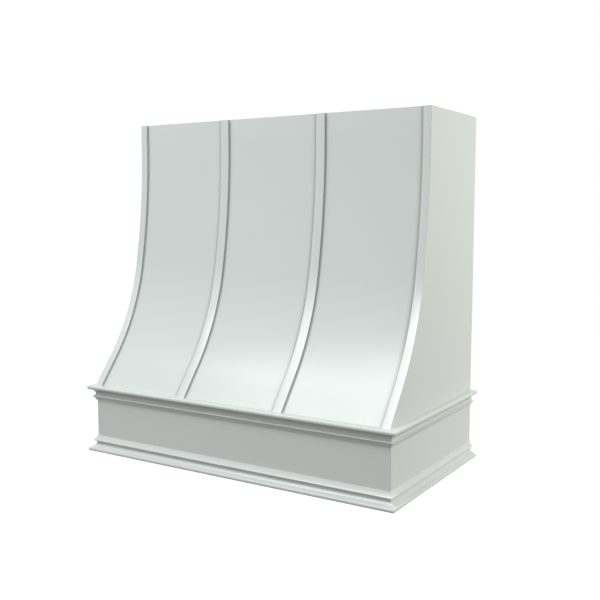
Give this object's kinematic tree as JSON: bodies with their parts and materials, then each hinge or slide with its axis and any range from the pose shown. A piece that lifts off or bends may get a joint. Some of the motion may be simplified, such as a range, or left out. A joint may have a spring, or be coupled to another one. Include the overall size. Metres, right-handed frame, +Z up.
{
  "type": "range hood cover",
  "caption": "Tapered wooden range hood cover with a flared, strapped front on a moulded apron; hangs on a bevelled wall cleat over a ventilator insert.",
  "frame": {"origin": "on the wall plane, in the middle of the hood's width, at its bottom edge", "axes": "+X to the right as seen from the room, +Y into the wall, so the hood stands out along -Y, +Z up"},
  "size_m": [0.9454, 0.5137, 0.9144],
  "materials": {
    "painted_wood": "satin paint",
    "birch_plywood": "unfinished",
    "poplar": "unfinished",
    "zinc_screw": "zinc plated",
    "beech_dowel": "unfinished"
  },
  "bodies": {
    "wall_cleat": {"wall_cleat": "birch_plywood"},
    "hood": {"apron_front_board": "painted_wood", "corner_blocks": "poplar", "curved_front_panel": "painted_wood", "edge_former_left": "birch_plywood", "edge_former_right": "birch_plywood", "edge_former_screws": "zinc_screw", "edge_strap_left": "painted_wood", "edge_strap_right": "painted_wood", "frame_dowels": "beech_dowel", "hood_cleat": "birch_plywood", "hood_cleat_screws": "zinc_screw", "inner_rib_left": "birch_plywood", "inner_rib_right": "birch_plywood", "inner_strap_left": "painted_wood", "inner_strap_right": "painted_wood", "insert_rail_back": "poplar", "insert_rail_front": "poplar", "insert_rail_left": "poplar", "insert_rail_right": "poplar", "insert_rail_screws": "zinc_screw", "lower_back_rail": "birch_plywood", "lower_moulding_front": "painted_wood", "lower_moulding_left": "painted_wood", "lower_moulding_right": "painted_wood", "rib_glue_blocks": "poplar", "side_panel_left": "painted_wood", "side_panel_right": "painted_wood", "top_back_rail": "birch_plywood", "top_front_rail": "birch_plywood", "upper_moulding_front": "painted_wood", "upper_moulding_left": "painted_wood", "upper_moulding_right": "painted_wood"}
  },
  "joints": [
    {"name": "hood_lift_off", "type": "slide", "parent": "wall_cleat", "child": "hood", "axis": [0, 0, 1], "range_m": [0, 0.03]}
  ]
}
